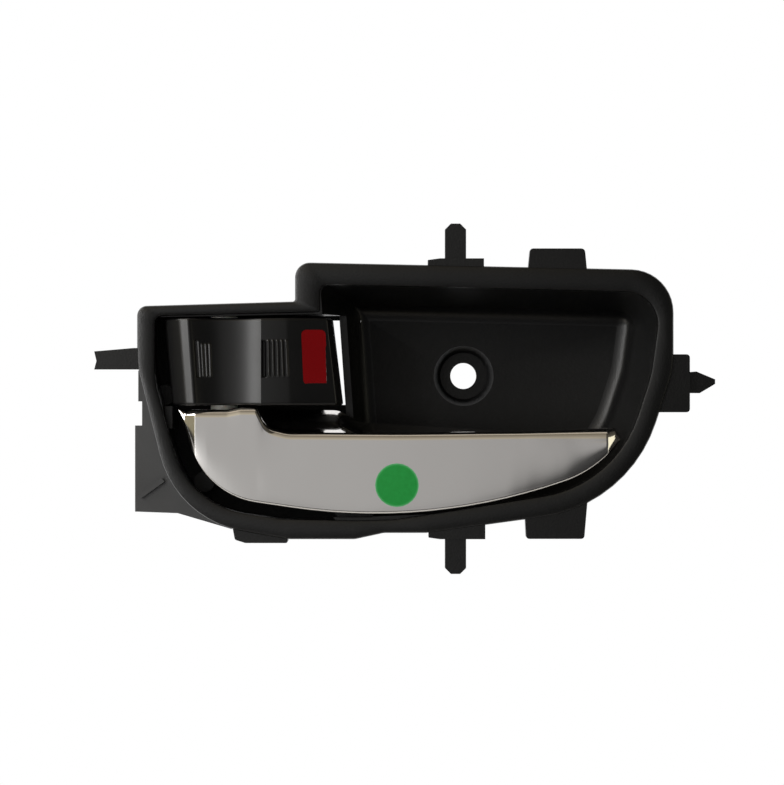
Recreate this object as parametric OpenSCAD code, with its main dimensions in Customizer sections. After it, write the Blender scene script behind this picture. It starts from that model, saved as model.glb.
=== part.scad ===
// Car interior door handle, left front, seen from inside the car.
// Origin: screw hole axis at the back of the screw seat. +X to the handle's tip, +Z up, the front faces -Y.

/* [Screw seat] */
// Diameter of the fixing screw hole
hole_d = 8.2; // [5:0.1:10]
// Thickness of the plastic under the screw head
seat_t = 2.5; // [1.5:0.1:4]
// Depth of the well from the cup floor to the seat
well_deep = 4; // [2:0.1:6]
// Diameter of the well at the cup floor
well_d = 18.8; // [16:0.1:22]
// Taper of the well, difference of its two diameters
well_taper = 4.2; // [2:0.1:5]

/* [Bezel] */
// Screw axis to the bezel's left edge
bezel_left = 99.8; // [96:0.1:106]
// Screw axis to the bezel's right edge
bezel_right = 62.9; // [58:0.1:68]
// Screw axis to the top edge over the cup
cup_top = 34.3; // [31:0.1:38]
// Screw axis to the top edge over the rocker
bay_top = 22.4; // [21:0.1:25]
// Screw axis to the bottom edge
bezel_low = 49.7; // [48:0.1:54]
// Screw axis to the step between cup and bay
leg_left = 51.9; // [50:0.1:54]
// Thickness of the bezel
rim_t = 3; // [2:0.1:4]
// Width of the bezel band over the cup
band_top = 6.8; // [5:0.1:8]
// Width of the bezel band over the rocker
band_bay = 3.2; // [2.5:0.1:4]
// Width of the bezel band at the left
band_left = 5.4; // [4:0.1:7]
// Width of the bezel band between cup and rocker
band_leg = 7.6; // [6:0.1:9]
// Width of the bezel band at the right
band_right = 4; // [3:0.1:6]
// Width of the bezel band along the bottom
band_low = 6.3; // [5:0.1:8]

/* [Cup and bay] */
// Depth of the finger cup from the bezel's face to its floor
cup_deep = 29; // [25:0.5:33]
// Wall thickness of the moulding
wall_t = 2.2; // [1.6:0.1:3]
// Draft of the cup's walls, mm per mm
cup_draft = 0.24; // [0.15:0.01:0.3]
// Extra lean of the cup's left wall, mm per mm
left_lean = 0.22; // [0.15:0.01:0.3]
// Fillet between the cup's walls and floor
cup_fillet = 5; // [3:0.5:7]
// Height of the cup's low left wall over the floor
low_wall_h = 9.5; // [7:0.5:12]

/* [Pivot] */
// Screw axis to the pivot axis, across
pivot_left = 74; // [72:0.1:76]
// Bezel's face to the pivot axis, inwards
pivot_deep = 10.5; // [10:0.1:12]
// Diameter of the steel pivot pin
pin_d = 3.6; // [3:0.1:4]
// Radial running clearance on the pin
pin_fit = 0.05; // [0.02:0.01:0.08]
// Wall of the two hubs round the pin
hub_wall = 2.3; // [2:0.1:2.6]
// Thickness of the lower pivot ear
ear_t = 3; // [2:0.1:4]

/* [Pull lever] */
// Pivot axis to the lever's left end
lever_back = 13.9; // [12:0.1:14.5]
// Pivot axis to the notch of the lever under the rocker
notch_in = 11; // [10:0.1:13]
// Slot between the lever's tip and the bezel
tip_gap = 12; // [8:0.1:16]
// Top of the lever's left part under the screw axis
lever_top = 10.4; // [10.2:0.1:11]
// Top of the grip under the screw axis, at its middle
grip_top = 18.5; // [17:0.1:19.5]
// Rise of the grip's top edge towards the tip
grip_rise = 2.5; // [1:0.1:3]
// Depth of the grip from its face to its rear edge
grip_deep = 14; // [12:0.5:16]
// How far the face stands out of the bezel in the middle
lever_proud = 2; // [0.5:0.1:3]
// Skin thickness of the plated shell
skin_t = 2.4; // [1.8:0.1:3]
// Radius of the rolled top edge of the grip
roll_r = 2.8; // [2:0.1:3.5]
// Pivot axis to each cable eye
arm_l = 27; // [25:0.5:30]
// Diameter of the cable eyes
eye_d = 4.2; // [3:0.1:5]
// Thickness of the cable arms
arm_t = 3; // [2:0.1:4]

/* [Lock rocker] */
// Top of the rocker over the screw axis
knob_top = 17.4; // [16:0.1:18]
// Bottom of the rocker under the screw axis
knob_low = 9.1; // [8:0.1:9.2]
// Radius of the rocker's end about the pivot, at its top
knob_r = 33.6; // [32:0.1:34.5]
// Growth of that radius from top to bottom
knob_flare = 3.2; // [2:0.1:4]
// Skin thickness of the rocker
knob_t = 1.8; // [1.4:0.1:2.4]
// Depth of the finger dish
dish_deep = 2.6; // [1.5:0.1:3.2]
// Width of the red marker
marker_w = 7.4; // [6:0.1:8]
// Height of the red marker
marker_h = 16.6; // [14:0.1:18]

/* [Springs and stops] */
// Wire diameter of the lever's return spring
wire_d = 1.1; // [0.8:0.1:1.4]
// Number of turns of the return spring
spring_turns = 4; // [3:1:5]
// Thickness of the detent leaf
leaf_t = 0.4; // [0.3:0.05:0.6]
// Diameter of the rubber rest button
button_d = 7; // [5:0.5:9]

/* [Fixings] */
// Width of the locating stems
stem_w = 6.4; // [5:0.1:8]
// Height of the upper stem over its base
stem_h = 10.6; // [8:0.1:13]
// Thickness of stems and tabs
stem_t = 4; // [3:0.1:5]
// Thickness of the cable bracket
bracket_t = 2; // [1.5:0.1:2.5]
// Height of the bracket's cable posts
post_h = 9; // [7:0.5:11]
// Width of the cable slots
slot_w = 5; // [4.5:0.1:6]

/* [Hidden] */
$fn = 48;

gap = 0.3;
face_y = -(seat_t + well_deep + cup_deep);
floor_y = -(seat_t + well_deep);
rim_back = face_y + rim_t;
back_y = floor_y + wall_t;
pivot_x = -pivot_left;
pivot_y = face_y + pivot_deep;
pin_r = pin_d / 2;
bore_r = pin_r + pin_fit;
hub_r = bore_r + hub_wall;
edge_in = 1.2;
boss_d = well_d + 2 * wall_t - 2;

// Plane geometry of the outlines. A corner is [x, z, radius], and corners run clockwise seen from the front.
function unit(v) = v / norm(v);
function right_of(u) = [u[1], -u[0]];
function turn(u, v) = atan2(u[0] * v[1] - u[1] * v[0], u * v);
function corner_at(path, i) = path[(i + len(path)) % len(path)];
function flat_xy(c) = [c[0], c[1]];

// A corner moved inwards by d, square to both of its edges
function inset_corner(path, i, d) =
    let (
        a = flat_xy(corner_at(path, i - 1)),
        b = flat_xy(corner_at(path, i)),
        c = flat_xy(corner_at(path, i + 1)),
        m = right_of(unit(b - a)),
        n = right_of(unit(c - b)),
        p = b + (m + n) * d / (1 + m * n),
        convex = turn(b - a, c - b) < 0
    )
    [p[0], p[1], max(corner_at(path, i)[2] + (convex ? -d : d), 0.5)];

// Points along the arc that rounds one corner
function corner_arc(a, b, c, r, n) =
    let (
        u = unit(b - a),
        v = unit(c - b),
        w = turn(u, v),
        s = b - u * r * tan(abs(w) / 2),
        side = w < 0 ? right_of(u) : -right_of(u),
        m = s + side * r
    )
    [for (k = [0:n]) let (t = w * k / n, q = s - m)
        m + [q[0] * cos(t) - q[1] * sin(t), q[0] * sin(t) + q[1] * cos(t)]];

// The whole closed outline, moved inwards by d
function outline(path, d = 0, n = 10) =
    let (moved = [for (i = [0:len(path) - 1]) inset_corner(path, i, d)])
    [for (i = [0:len(path) - 1])
        each corner_arc(
            flat_xy(corner_at(moved, i - 1)), flat_xy(moved[i]),
            flat_xy(corner_at(moved, i + 1)), moved[i][2], n)];

// An open line with rounded corners, ends kept
function open_line(path, n = 8) =
    [flat_xy(path[0]),
     for (i = [1:len(path) - 2])
        each corner_arc(flat_xy(path[i - 1]), flat_xy(path[i]), flat_xy(path[i + 1]), path[i][2], n),
     flat_xy(path[len(path) - 1])];

function at_y(points, y) = [for (p = points) [p[0], y, p[1]]];
function sum_of(points, k, i = 0) = i >= len(points) ? 0 : points[i][k] + sum_of(points, k, i + 1);
function middle(points) = [for (k = [0:2]) sum_of(points, k) / len(points)];

// A closed skin through rings of points, each end closed round its middle
module loft(rings) {
    n = len(rings[0]);
    m = len(rings);
    points = [for (r = rings) each r, middle(rings[0]), middle(rings[m - 1])];
    faces = [
        for (i = [0:m - 2]) for (j = [0:n - 1])
            each [
                [i * n + j, (i + 1) * n + j, i * n + (j + 1) % n],
                [i * n + (j + 1) % n, (i + 1) * n + j, (i + 1) * n + (j + 1) % n]
            ],
        for (j = [0:n - 1]) [j, (j + 1) % n, m * n],
        for (j = [0:n - 1]) [(m - 1) * n + (j + 1) % n, (m - 1) * n + j, m * n + 1]
    ];
    polyhedron(points, faces);
}

// A band between two outlines, its section given as [side, inset, y] from the outer back round to the inner back
module band(outer, inner, section) {
    rings = [for (s = section) at_y(outline(s[0] == 0 ? outer : inner, s[1]), s[2])];
    n = len(rings[0]);
    m = len(rings);
    points = [for (r = rings) each r];
    faces = [
        for (i = [0:m - 1]) for (j = [0:n - 1])
            let (k = (i + 1) % m, l = (j + 1) % n)
            each [[i * n + j, i * n + l, k * n + j], [i * n + l, k * n + l, k * n + j]]
    ];
    polyhedron(points, faces);
}

// Extrusions and rounds along the depth axis
module slab(y0, y1) {
    translate([0, y1, 0]) rotate([90, 0, 0]) linear_extrude(y1 - y0) children();
}
module rod_y(x, z, y0, y1, r) {
    translate([x, y1, z]) rotate([90, 0, 0]) cylinder(r = r, h = y1 - y0);
}
module box(low, high) {
    translate(low) cube(high - low);
}
module at_pivot(z) {
    translate([pivot_x, pivot_y, z]) children();
}

// Outline of the bezel's outer edge
outer = [
    [-bezel_left, bay_top - 1.4, 3],
    [-leg_left, bay_top, 0.8],
    [-leg_left, cup_top, 4.5],
    [bezel_right, cup_top - 2.4, 13],
    [bezel_right, 2, 25],
    [bezel_right - 13.5, -bezel_low + 10.3, 42],
    [-12, -bezel_low + 1.9, 8],
    [-25, -bezel_low + 1.9, 6],
    [-33.7, -bezel_low, 6],
    [-54, -bezel_low, 10],
    [-bezel_left + 11.8, -bezel_low + 6, 31],
    [-bezel_left, 3.5, 20]
];
// Outline of the bezel's opening, corner for corner
leg_in = -leg_left + band_leg;
open_low = -bezel_low + band_low;
open_right = bezel_right - band_right;
inner = [
    [-bezel_left + band_left, bay_top - 1.2 - band_bay, 2.5],
    [leg_in, bay_top - band_bay, 0.8],
    [leg_in, cup_top - band_top, 2.5],
    [open_right + 0.6, cup_top - 2.4 - band_top, 10],
    [open_right - 2.9, 0, 40],
    [open_right - 13.7, open_low + 10.2, 36],
    [-12, open_low + 1.2, 30],
    [-22, open_low - 0.3, 30],
    [-33, open_low - 0.6, 30],
    [-56, open_low - 0.1, 20],
    [-bezel_left + band_left + 10.3, open_low + 4.3, 26],
    [-bezel_left + band_left, -2, 20]
];
// The cup alone, its left side leaning over by lean at its foot
cup_slant = 3;
function cup(lean) = [
    [leg_in + lean, cup_top - band_top, 2.5],
    inner[3], inner[4], inner[5], inner[6],
    [leg_in + lean + cup_slant + 2, open_low + 0.1, 4]
];
// The mechanism bay behind the bezel, open towards the cup
bay_right = leg_in + 11;
bay = [
    outer[0],
    [bay_right, bay_top, 0.8],
    [bay_right, -bezel_low, 0.8],
    outer[9], outer[10], outer[11]
];

lip_y = face_y + 5;
fillet_y = floor_y - cup_fillet;
foot_in = 0.3 + cup_draft * (fillet_y - lip_y);
arc_steps = [30, 60, 90];
cup_rings = [
    at_y(outline(cup(0), -0.2), face_y - 2),
    at_y(outline(cup(0), 0.3), lip_y),
    at_y(outline(cup(left_lean * (fillet_y - lip_y)), foot_in), fillet_y),
    for (a = arc_steps) at_y(
        outline(cup(left_lean * (fillet_y - lip_y)), foot_in + cup_fillet * (1 - cos(a))),
        fillet_y + cup_fillet * sin(a))
];
pan_rings = [
    at_y(outline(cup(0), -wall_t), face_y + 0.9),
    at_y(outline(cup(0), 0.3 - wall_t), lip_y),
    at_y(outline(cup(left_lean * (fillet_y - lip_y)), foot_in - wall_t), fillet_y),
    for (a = arc_steps) at_y(
        outline(cup(left_lean * (fillet_y - lip_y)),
            foot_in - wall_t + (cup_fillet + wall_t) * (1 - cos(a))),
        fillet_y + (cup_fillet + wall_t) * sin(a))
];

// Housing: one moulding
ear_top = -28.3;
hub_low = ear_top + gap;
arm_lever_z = -22;
arm_lock_z = -3;
swing = 32;
rock = 20;
screw_spots = [[-bezel_left + 6.5, -6], [pivot_x - 7, -33]];
screw_r = 1.5;
screw_deep = 8;
button_x = -48;
button_z = -30;
button_h = 2;
shell_in_y = face_y + 2.5;
guard_gap = 1.6;
// How far a cable arm turned by a reaches sideways at depth y
function sweep_at(y, a) = (y - pivot_y) * tan(a) + hub_r / cos(a);

module bezel() {
    band(outer, inner, [
        [0, 0, rim_back],
        [0, 0, face_y + 0.8],
        [0, 0.25, face_y + 0.25],
        [0, 0.8, face_y],
        [1, -0.8, face_y],
        [1, -0.25, face_y + 0.25],
        [1, 0, face_y + 0.8],
        [1, 0, rim_back]
    ]);
}

module bay_shell() {
    difference() {
        slab(rim_back - 0.5, back_y) polygon(outline(bay, edge_in));
        slab(rim_back - 1, floor_y)
            polygon(outline([
                for (c = bay) c[0] == bay_right ? [bay_right + 6, c[1], c[2]] : c
            ], edge_in + wall_t));
    }
}

// Upright stem with bevelled tip on a stepped base; up is 1 at the top edge and -1 at the bottom edge
module locating_stem(base_z, height, base_l, base_r, up) {
    half = stem_w / 2;
    x = -3.2;
    slab(rim_back - 1.5, rim_back - 1.5 + stem_t)
        polygon([
            [x - half, base_z - up * 3],
            [x - half, base_z + up * (height - 1.8)],
            [x - half + 1.8, base_z + up * height],
            [x + half - 1.8, base_z + up * height],
            [x + half, base_z + up * (height - 1.8)],
            [x + half, base_z - up * 3]
        ]);
    slab(face_y + 0.6, rim_back + 6)
        polygon([
            [base_l, base_z - up * 5],
            [base_l, base_z - up * 0.5],
            [x - half - 1.6, base_z],
            [base_r, base_z],
            [base_r, base_z - up * 5]
        ]);
    box([x - 0.8, rim_back - 1.5, min(base_z, base_z + up * (height - 3))],
        [x + 0.8, rim_back + stem_t + 1, max(base_z, base_z + up * (height - 3))]);
}

module edge_tabs() {
    // Top tab
    slab(face_y + 0.5, face_y + 0.5 + stem_t)
        polygon(outline([
            [18.6, cup_top - 4, 0.5], [19.4, cup_top + 4.2, 1], [36, cup_top + 4.2, 1.2],
            [36.8, cup_top - 4, 0.5]
        ], 0, 4));
    // Bottom tab
    slab(face_y + 0.5, face_y + 0.5 + stem_t)
        polygon(outline([
            [17.8, -bezel_low + 8, 0.5], [37, -bezel_low + 14, 0.5],
            [35.8, -bezel_low + 0.1, 1], [18.2, -bezel_low + 0.1, 1]
        ], 0, 4));
    // Foot pad under the rocker bay
    slab(face_y + 1.2, rim_back + 6)
        polygon(outline([
            [-71, -bezel_low + 4, 0.5], [-54, -bezel_low + 3, 0.5],
            [-54.2, -bezel_low - 1.2, 0.6], [-67, -bezel_low - 1.2, 0.6],
            [-70.2, -bezel_low - 0.2, 0.8]
        ], 0, 4));
}

module right_block() {
    slab(face_y + 1, rim_back + 8)
        polygon(outline([
            [bezel_right - 5, 6.4, 0.5], [bezel_right + 5, 6.4, 1],
            [bezel_right + 5, -11.2, 1], [bezel_right - 6.5, -11.2, 0.5]
        ], 0, 4));
    // Barbed arrow clip
    slab(rim_back, rim_back + stem_t)
        polygon([
            [bezel_right + 4, 0.9], [bezel_right + 7.2, 1.2], [bezel_right + 12.9, -1.2],
            [bezel_right + 12.9, -2.6], [bezel_right + 8.2, -5.4], [bezel_right + 4, -5.4]
        ]);
}

module left_tongue() {
    tongue_end = -bezel_left - 13.2;
    difference() {
        slab(rim_back - 1, rim_back + 3)
            polygon([
                [-bezel_left + 3, 1.8], [tongue_end, 1.8], [tongue_end + 0.7, 4.4],
                [tongue_end, 7.3], [-bezel_left - 1.5, 8.3], [-bezel_left + 3, 8.4]
            ]);
        box([tongue_end - 1, rim_back + 0.4, 0], [tongue_end + 5, rim_back + 1.6, 10]);
    }
}

module back_ribs() {
    rib_back = -0.8;
    gusset_l = 12;
    gusset_up = 6.5;
    for (a = [0:60:300])
        rotate([0, a, 0])
            box([boss_d / 2 - 1, floor_y + 1, -0.8], [24, rib_back, 0.8]);
    // Short gussets between the bezel and the cup wall
    for (x = [-30, 12, 42])
        box([x - 0.8, rim_back - 0.5, cup_top - band_top], [x + 0.8, rim_back + gusset_l, cup_top - 3.4]);
    for (x = [-20, 26])
        box([x - 0.8, rim_back - 0.5, -bezel_low + gusset_up],
            [x + 0.8, rim_back + gusset_l, -bezel_low + gusset_l]);
}

module housing() {
    color([0.13, 0.13, 0.135])
    difference() {
        union() {
            bezel();
            loft(pan_rings);
            bay_shell();
            locating_stem(cup_top + 1.2, stem_h, -11.6, 5.4, 1);
            locating_stem(-bezel_low, stem_h, -11.4, 5.8, -1);
            edge_tabs();
            right_block();
            left_tongue();
            back_ribs();
            rod_y(0, 0, back_y - 0.5, 0, boss_d / 2);
        }
        loft(cup_rings);
        // Screw well and hole
        translate([0, -seat_t, 0]) rotate([90, 0, 0])
            cylinder(d1 = well_d - well_taper, d2 = well_d, h = well_deep);
        rod_y(0, 0, floor_y, 1, hole_d / 2);
        // Way for the lever's neck and the rocker over the low wall
        box([-50, face_y - 3, -38.5], [leg_in + 16, floor_y - low_wall_h, bay_top - band_bay - 0.6]);
        box([-50, face_y - 3, open_low + 0.3], [leg_in + 16, face_y + 6.5, -38]);
        // Rear windows for the rocker's end and the two cable arms
        box([-44, floor_y - 1, -knob_low], [bay_right + 1, back_y + 1, knob_top]);
        box([pivot_x - sweep_at(back_y, rock) - gap, floor_y - 1, arm_lock_z - arm_t / 2 - 1.5],
            [pivot_x + hub_r + 0.8, back_y + 1, arm_lock_z + arm_t / 2 + 1.5]);
        box([pivot_x - hub_r - 0.8, floor_y - 1, arm_lever_z - arm_t / 2 - 1.5],
            [pivot_x + sweep_at(back_y, swing) + gap, back_y + 1, arm_lever_z + arm_t / 2 + 1.5]);
        for (s = screw_spots)
            rod_y(s[0], s[1], back_y - screw_deep, back_y + 1, screw_r + 0.1);
        // Pin hole in the bay's top wall
        at_pivot(bay_top - 6) cylinder(r = bore_r, h = 8);
    }
    color([0.13, 0.13, 0.135])
    difference() {
        union() {
            // Guard rib beside the lever's left end
            box([lever_l - guard_gap - wall_t, face_y + 5, -lever_top - 5.8],
                [lever_l - guard_gap, floor_y + 0.5, -knob_low - gap]);
            // Lower pivot ear
            at_pivot(ear_top - ear_t) cylinder(r = hub_r, h = ear_t);
            box([pivot_x - hub_r, pivot_y, ear_top - ear_t], [pivot_x + hub_r, floor_y + 0.5, ear_top]);
            // Posts for the bracket's screws
            for (s = screw_spots)
                rod_y(s[0], s[1], back_y - screw_deep - 1, floor_y + 0.5, screw_r + 1.7);
            // Post for the rest button
            rod_y(button_x, button_z, shell_in_y + gap + button_h, floor_y + 0.5, button_d / 2 - 0.5);
        }
        at_pivot(ear_top - ear_t - 1) cylinder(r = bore_r, h = ear_t + 2);
        for (s = screw_spots)
            rod_y(s[0], s[1], back_y - screw_deep, back_y + 1, screw_r + 0.1);
    }
}

// Cable bracket behind the bay, with two slotted posts for the cable sheaths
bracket_y = back_y + bracket_t;
eye_y = pivot_y + arm_l;
bracket_left = -bezel_left - 3.6;
module cable_post(x, z0, z1, arm_z) {
    difference() {
        box([x, back_y, z0], [x + bracket_t, bracket_y + post_h, z1]);
        translate([x - 1, eye_y, arm_z]) rotate([0, 90, 0]) cylinder(d = slot_w, h = bracket_t + 2);
        box([x - 1, eye_y, arm_z - slot_w / 2], [x + bracket_t + 1, bracket_y + post_h + 1, arm_z + slot_w / 2]);
    }
}
module cable_bracket() {
    color([0.27, 0.275, 0.28])
    difference() {
        union() {
            slab(back_y, bracket_y)
                polygon([
                    [bracket_left + 1, 1.7], [-bezel_left + 12, 1.7], [-bezel_left + 12, -9.5],
                    [pivot_x - 7, -16], [pivot_x - 7, -27], [pivot_x - 2.8, -29], [pivot_x - 2.8, -38],
                    [pivot_x + 2.5, -44.5], [pivot_x + 1, -48.2], [pivot_x - 16, -43.2],
                    [bracket_left, -42.7], [bracket_left, -15.6], [bracket_left + 2.2, -15.6],
                    [bracket_left + 2.2, -8], [bracket_left + 1, -8]
                ]);
            cable_post(bracket_left + 1, arm_lock_z - 5, arm_lock_z + 4.7, arm_lock_z);
            cable_post(bracket_left, arm_lever_z - 6, arm_lever_z + 6, arm_lever_z);
            // Gussets behind the posts and a stiffening rib on the plate's face
            for (z = [arm_lever_z - 6, arm_lever_z + 4.8])
                translate([0, 0, z]) linear_extrude(1.2)
                    polygon([[bracket_left + 1, bracket_y - 0.5], [bracket_left + 1, bracket_y + post_h - 1],
                        [bracket_left + 3, bracket_y + post_h - 1], [bracket_left + 8, bracket_y - 0.5]]);
            translate([bracket_left + 2, back_y - 1, -38.5]) rotate([0, -36, 0]) cube([9, 1.5, 1.4]);
        }
        for (s = screw_spots)
            rod_y(s[0], s[1], back_y - 1, bracket_y + 1, screw_r + 0.2);
    }
}

module bracket_screws() {
    color([0.55, 0.55, 0.57])
    for (s = screw_spots)
        difference() {
            union() {
                rod_y(s[0], s[1], back_y - screw_deep + gap, bracket_y + 0.5, screw_r);
                rod_y(s[0], s[1], bracket_y, bracket_y + 1.8, screw_r * 2);
            }
            for (a = [0, 90])
                translate([s[0], bracket_y + 1.8, s[1]]) rotate([0, a, 0])
                    cube([3, 1.6, 0.6], center = true);
        }
}

// Pivot pin, its clip and the washers on it
pin_top = bay_top - 1.4;
pin_low = ear_top - ear_t - 2.6;
groove_z = ear_top - ear_t - 1.5;
clip_t = 0.8;
module pivot_pin() {
    color([0.7, 0.7, 0.72])
    difference() {
        union() {
            at_pivot(pin_low) cylinder(r = pin_r, h = pin_top - pin_low);
            at_pivot(pin_top - 0.2) cylinder(r = pin_r + 1.2, h = 1);
        }
        at_pivot(groove_z)
            rotate_extrude() translate([pin_r - 0.4, 0]) square([1, clip_t + 0.2]);
    }
}
module pin_clip() {
    color([0.6, 0.6, 0.62])
    at_pivot(groove_z + 0.1)
        difference() {
            cylinder(r = pin_r + 2, h = clip_t);
            translate([0, 0, -1]) cylinder(r = pin_r - 0.35, h = clip_t + 2);
            translate([0, -pin_r * 0.6, -1]) cube([10, pin_r * 1.2, clip_t + 2]);
            for (a = [120, 240])
                rotate([0, 0, a]) translate([pin_r + 0.5, 0, -1]) cylinder(r = 0.9, h = clip_t + 2);
        }
}
lever_hub_top = -lever_top - 0.5;
lock_hub_low = -knob_low - 0.2;
function top_wall_z(x) = outer[0][1] + (bay_top - outer[0][1]) * (x + bezel_left) / (bay_right + bezel_left)
    - edge_in - wall_t;
module washer(z0, z1) {
    at_pivot(z0)
        difference() {
            cylinder(r = hub_r, h = z1 - z0);
            translate([0, 0, -1]) cylinder(r = bore_r, h = z1 - z0 + 2);
        }
}
module hub_washer() {
    color([0.92, 0.91, 0.86]) washer(lever_hub_top + 0.1, lock_hub_low - 0.1);
}
module top_washer() {
    color([0.92, 0.91, 0.86]) washer(knob_top + 0.1, top_wall_z(pivot_x) - 0.15);
}

// Pull lever: plated shell. Its lines run from the left end to the tip, and each section stands square to X.
lever_l = pivot_x - lever_back;
lever_tip = open_right - tip_gap;
notch_x = pivot_x + notch_in;
facet_x = lever_l + 5.7;
tip_facet_x = lever_tip - 4;
low_line = open_line([
    [lever_l, -lever_top - 0.2],
    [pivot_x - 4.35, open_low + 6.9, 24.2],
    [-11, open_low - 2.9, 177],
    [lever_tip - 6.6, open_low + 14.7, 35.5],
    [lever_tip, -grip_top - 1.2]
], 16);
top_line = open_line([
    [lever_l, -lever_top],
    [pivot_x + 1.5, -lever_top, 3],
    [pivot_x + 5.5, -lever_top + 0.8, 3],
    [notch_x, -lever_top + 0.8, 1.2],
    [notch_x + 2.8, -grip_top + 0.6, 5],
    [-20, -grip_top, 300],
    [18, -grip_top + 0.55, 150],
    [lever_tip - 1.4, -grip_top + grip_rise, 0.7],
    [lever_tip, -grip_top - 0.6]
], 8);
rear_line = open_line([
    [lever_l, -lever_top],
    [notch_x + 24, -lever_top - 0.3, 7],
    [notch_x + 31, -grip_top + 3.6, 9],
    [lever_tip, -grip_top - 0.6]
], 8);
face_line = open_line([
    [lever_l, face_y + 5],
    [facet_x, face_y - 0.3, 1.2],
    [-18, face_y - lever_proud * 1.25, 500],
    [tip_facet_x, face_y + 0.6, 1.2],
    [lever_tip, face_y + 3]
], 10);
depth_line = open_line([
    [lever_l, face_y + 8],
    [lever_l + 6, face_y + 11, 4],
    [notch_x + 12, face_y + grip_deep, 20],
    [lever_tip - 22, face_y + grip_deep - 2, 30],
    [lever_tip, face_y + 6]
], 8);
crown = 0.5;
roll_line = [[20, roll_r], [tip_facet_x, roll_r + 1]];
function lever_section(x) =
    let (
        zb = lookup(x, low_line),
        zt = lookup(x, top_line),
        zr = max(lookup(x, rear_line), zt),
        yf = lookup(x, face_line),
        yr = lookup(x, depth_line),
        h = zt - zb,
        rb = min(2.2, h * 0.3),
        rt = min(lookup(x, roll_line), h * 0.5),
        yb = min(yf + 5, yr - 0.5),
        te = min(skin_t, (zr - zb) * 0.4)
    )
    [
        [x, yb, zb + rb * 0.3],
        [x, yf + rb, zb],
        for (a = [30, 60]) [x, yf + rb * (1 - sin(a)), zb + rb * (1 - cos(a))],
        for (f = [0:0.2:1]) [x, yf - crown * min(h / 20, 1) * 4 * f * (1 - f), zb + rb + (h - rb - rt) * f],
        for (a = [30, 60, 90]) [x, yf + rt * (1 - cos(a)), zt - rt + rt * sin(a)],
        [x, (yf + rt) * 0.5 + yr * 0.5, zt + (zr - zt) * 0.42],
        [x, yr - 1, zr],
        [x, yr, zr - te * 0.4],
        [x, yr, zr - te]
    ];
function reversed(v) = [for (i = [len(v) - 1:-1:0]) v[i]];
lever_stations = [
    for (i = [0:3]) lever_l + i * (facet_x - 0.5 - lever_l) / 4,
    for (i = [0:3]) facet_x - 0.5 + i * 0.25,
    for (i = [0:8]) facet_x + 0.5 + i * (notch_x - 1.5 - facet_x) / 9,
    for (i = [0:13]) notch_x - 1 + i * 6 / 14,
    for (i = [0:9]) notch_x + 5 + i * 3,
    for (i = [0:21]) notch_x + 35 + i * (lever_tip - notch_x - 43) / 22,
    for (i = [0:13]) lever_tip - 8 * pow(1 - i / 13, 1.5)
];
pocket = [
    [lever_l + 0.2, -lever_top, 1],
    [notch_x, -lever_top, 1.2],
    [notch_x + 2.6, -grip_top + 0.4, 5],
    [lever_tip - 9, -grip_top + 1.4, 1],
    [lever_tip - 11, open_low + 13.5, 10],
    [-11, open_low - 2.4, 177],
    [pivot_x - 4.35, open_low + 7.4, 24.2]
];
stake_x = notch_x - 2.6;
stake_spots = [[stake_x, -lever_top - 7], [stake_x, -lever_top - 14.6]];
module lever_shell() {
    color([0.83, 0.83, 0.84])
    difference() {
        loft([for (x = lever_stations) reversed(lever_section(x))]);
        slab(shell_in_y, 0) polygon(outline(pocket, skin_t));
        at_pivot(lever_hub_top - 8) cylinder(r = hub_r + 0.4, h = lever_top);
    }
    // Heat stakes that hold the hub plate
    color([0.83, 0.83, 0.84])
    for (s = stake_spots) {
        rod_y(s[0], s[1], shell_in_y - 0.3, shell_in_y + 2.2, 1.3);
        rod_y(s[0], s[1], shell_in_y + 2, shell_in_y + 2.8, 2.2);
    }
}

// Cable arm of a hub: a plate back to the eye, with a slot that lets the cable's end in
arm_half = 3.6;
module cable_arm(z) {
    box([pivot_x - arm_half, pivot_y, z - arm_t / 2], [pivot_x + arm_half, eye_y, z + arm_t / 2]);
    translate([pivot_x, eye_y, z - arm_t / 2]) cylinder(r = eye_d / 2 + 1.9, h = arm_t);
}
module arm_holes(z) {
    translate([pivot_x, eye_y, z - arm_t]) cylinder(d = eye_d, h = arm_t * 2);
    box([pivot_x - 8, eye_y - 0.8, z - arm_t], [pivot_x, eye_y + 0.8, z + arm_t]);
}
plate_t = 2;
hub_rib_t = 2;
module lever_hub() {
    color([0.09, 0.09, 0.095])
    difference() {
        union() {
            at_pivot(hub_low) cylinder(r = hub_r, h = lever_hub_top - hub_low);
            cable_arm(arm_lever_z);
            // Plate and ribs, kept inside the shell's pocket
            intersection() {
                slab(shell_in_y, pivot_y) polygon(outline(pocket, skin_t + gap));
                union() {
                    box([pivot_x - hub_r - 3, shell_in_y, hub_low],
                        [notch_x + 1, shell_in_y + plate_t, lever_hub_top - 1.6]);
                    for (z = [hub_low, arm_lever_z - hub_rib_t / 2])
                        translate([0, 0, z]) linear_extrude(hub_rib_t)
                            polygon([
                                [pivot_x - hub_r + 0.5, pivot_y], [pivot_x - 2, shell_in_y + 1],
                                [notch_x, shell_in_y + 1], [pivot_x + hub_r - 0.5, pivot_y]
                            ]);
                }
            }
        }
        at_pivot(hub_low - 1) cylinder(r = bore_r, h = lever_hub_top - hub_low + 2);
        arm_holes(arm_lever_z);
        for (s = stake_spots)
            rod_y(s[0], s[1], shell_in_y - 1, shell_in_y + plate_t, 1.4);
        // Room for the stakes' heads
        for (s = stake_spots)
            rod_y(s[0], s[1], shell_in_y + plate_t, shell_in_y + plate_t + 1.2, 2.4);
    }
}

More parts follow.
